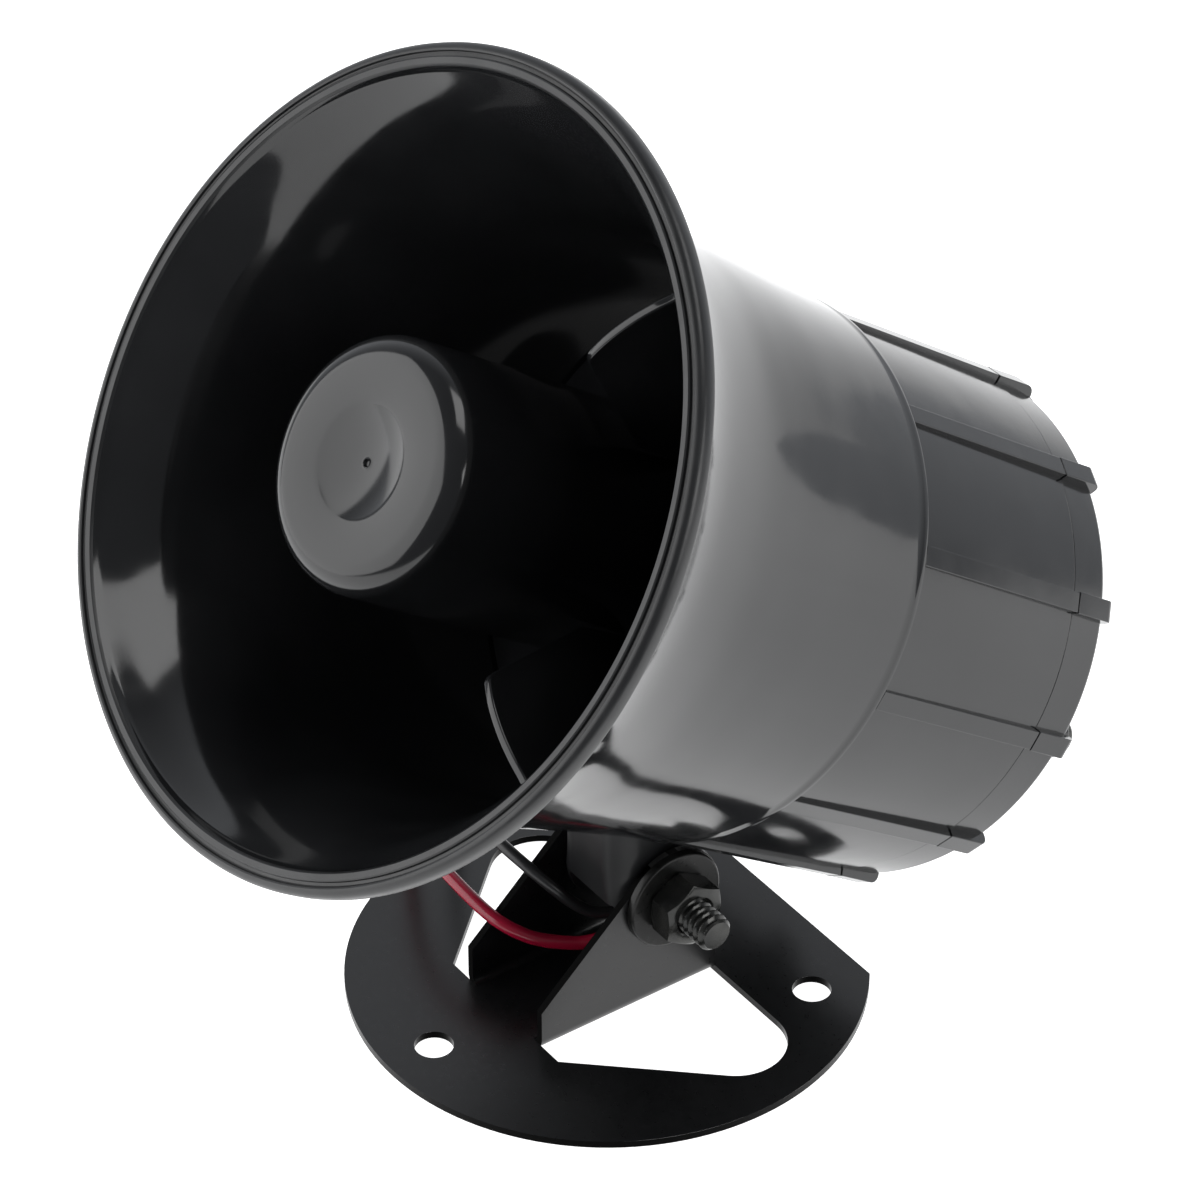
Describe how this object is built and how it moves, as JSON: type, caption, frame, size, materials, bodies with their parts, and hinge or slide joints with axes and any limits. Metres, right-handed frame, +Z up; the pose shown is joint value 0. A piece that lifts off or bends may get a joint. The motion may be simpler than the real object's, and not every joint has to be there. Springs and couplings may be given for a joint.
{
  "type": "horn alarm siren",
  "caption": "Wired horn alarm siren: flared plastic bell with a central tone reflector on a ribbed sound-unit housing, tilting on a folded steel foot bracket.",
  "frame": {"origin": "centre of the bracket plate's round outline, on the surface it is screwed to", "axes": "+Z up from the mounting surface; horn mouth towards -Y and tilted up; pivot bolt along X, nut on the +X side"},
  "size_m": [0.1162, 0.1281, 0.1324],
  "materials": {
    "bracket_paint": "semi-gloss black paint",
    "bolt_black_oxide": "oiled black oxide",
    "washer_black_oxide": "oiled black oxide",
    "bell_plastic": "high-gloss moulded black",
    "reflector_plastic": "high-gloss moulded black",
    "throat_plastic": "high-gloss moulded black",
    "body_plastic": "gloss moulded black",
    "cover_plastic": "gloss moulded black",
    "gasket_rubber": "matte",
    "screw_steel": "zinc plated",
    "frame_plastic": "matte black",
    "diaphragm_film": "thin amber film",
    "coil_copper": "enamelled wire",
    "plate_steel": "zinc plated",
    "ferrite": "matte grey ferrite",
    "board_laminate": "brown laminate",
    "chip_epoxy": "matte epoxy",
    "transformer_core": "laminated steel",
    "capacitor_sleeve": "shrink sleeve",
    "resistor_body": "lacquered",
    "driver_wire": "insulated wire",
    "inner_wire": "insulated wire",
    "red_insulation": "satin insulation",
    "black_insulation": "satin insulation",
    "tinned_copper": "tinned strand"
  },
  "bodies": {
    "base": {"base_bracket": "bracket_paint", "pivot_bolt": "bolt_black_oxide", "pivot_washer": "washer_black_oxide", "pivot_nut": "bolt_black_oxide", "red_lead": "red_insulation", "black_lead": "black_insulation", "red_lead_tip": "tinned_copper", "black_lead_tip": "tinned_copper"},
    "head": {"horn_bell": "bell_plastic", "bell_vanes": "bell_plastic", "tone_reflector": "reflector_plastic", "throat_tube": "throat_plastic", "throat_floor": "throat_plastic", "body_housing": "body_plastic", "rear_cover": "cover_plastic", "rear_gasket": "gasket_rubber", "cable_grommet": "gasket_rubber", "rear_cover_screws": "screw_steel", "driver_screws": "screw_steel", "board_screws": "screw_steel", "driver_frame": "frame_plastic", "front_plate": "plate_steel", "pole_yoke": "plate_steel", "magnet_ring": "ferrite", "circuit_board": "board_laminate", "tone_chip": "chip_epoxy", "power_transistor": "chip_epoxy", "output_transformer": "transformer_core", "capacitors": "capacitor_sleeve", "resistors": "resistor_body", "driver_leads": "driver_wire", "inner_leads": "inner_wire"},
    "cone": {"diaphragm": "diaphragm_film", "voice_coil": "coil_copper"}
  },
  "joints": [
    {"name": "head_tilt", "type": "hinge", "parent": "base", "child": "head", "pos_m": [0, 0.004, 0.016], "axis": [-1, 0, 0], "range_deg": [-40, 15]},
    {"name": "cone_stroke", "type": "slide", "parent": "head", "child": "cone", "axis": [0, -0.8202, 0.5721], "range_m": [-0.0003, 0.0003], "stiffness_N_per_m": 600}
  ]
}
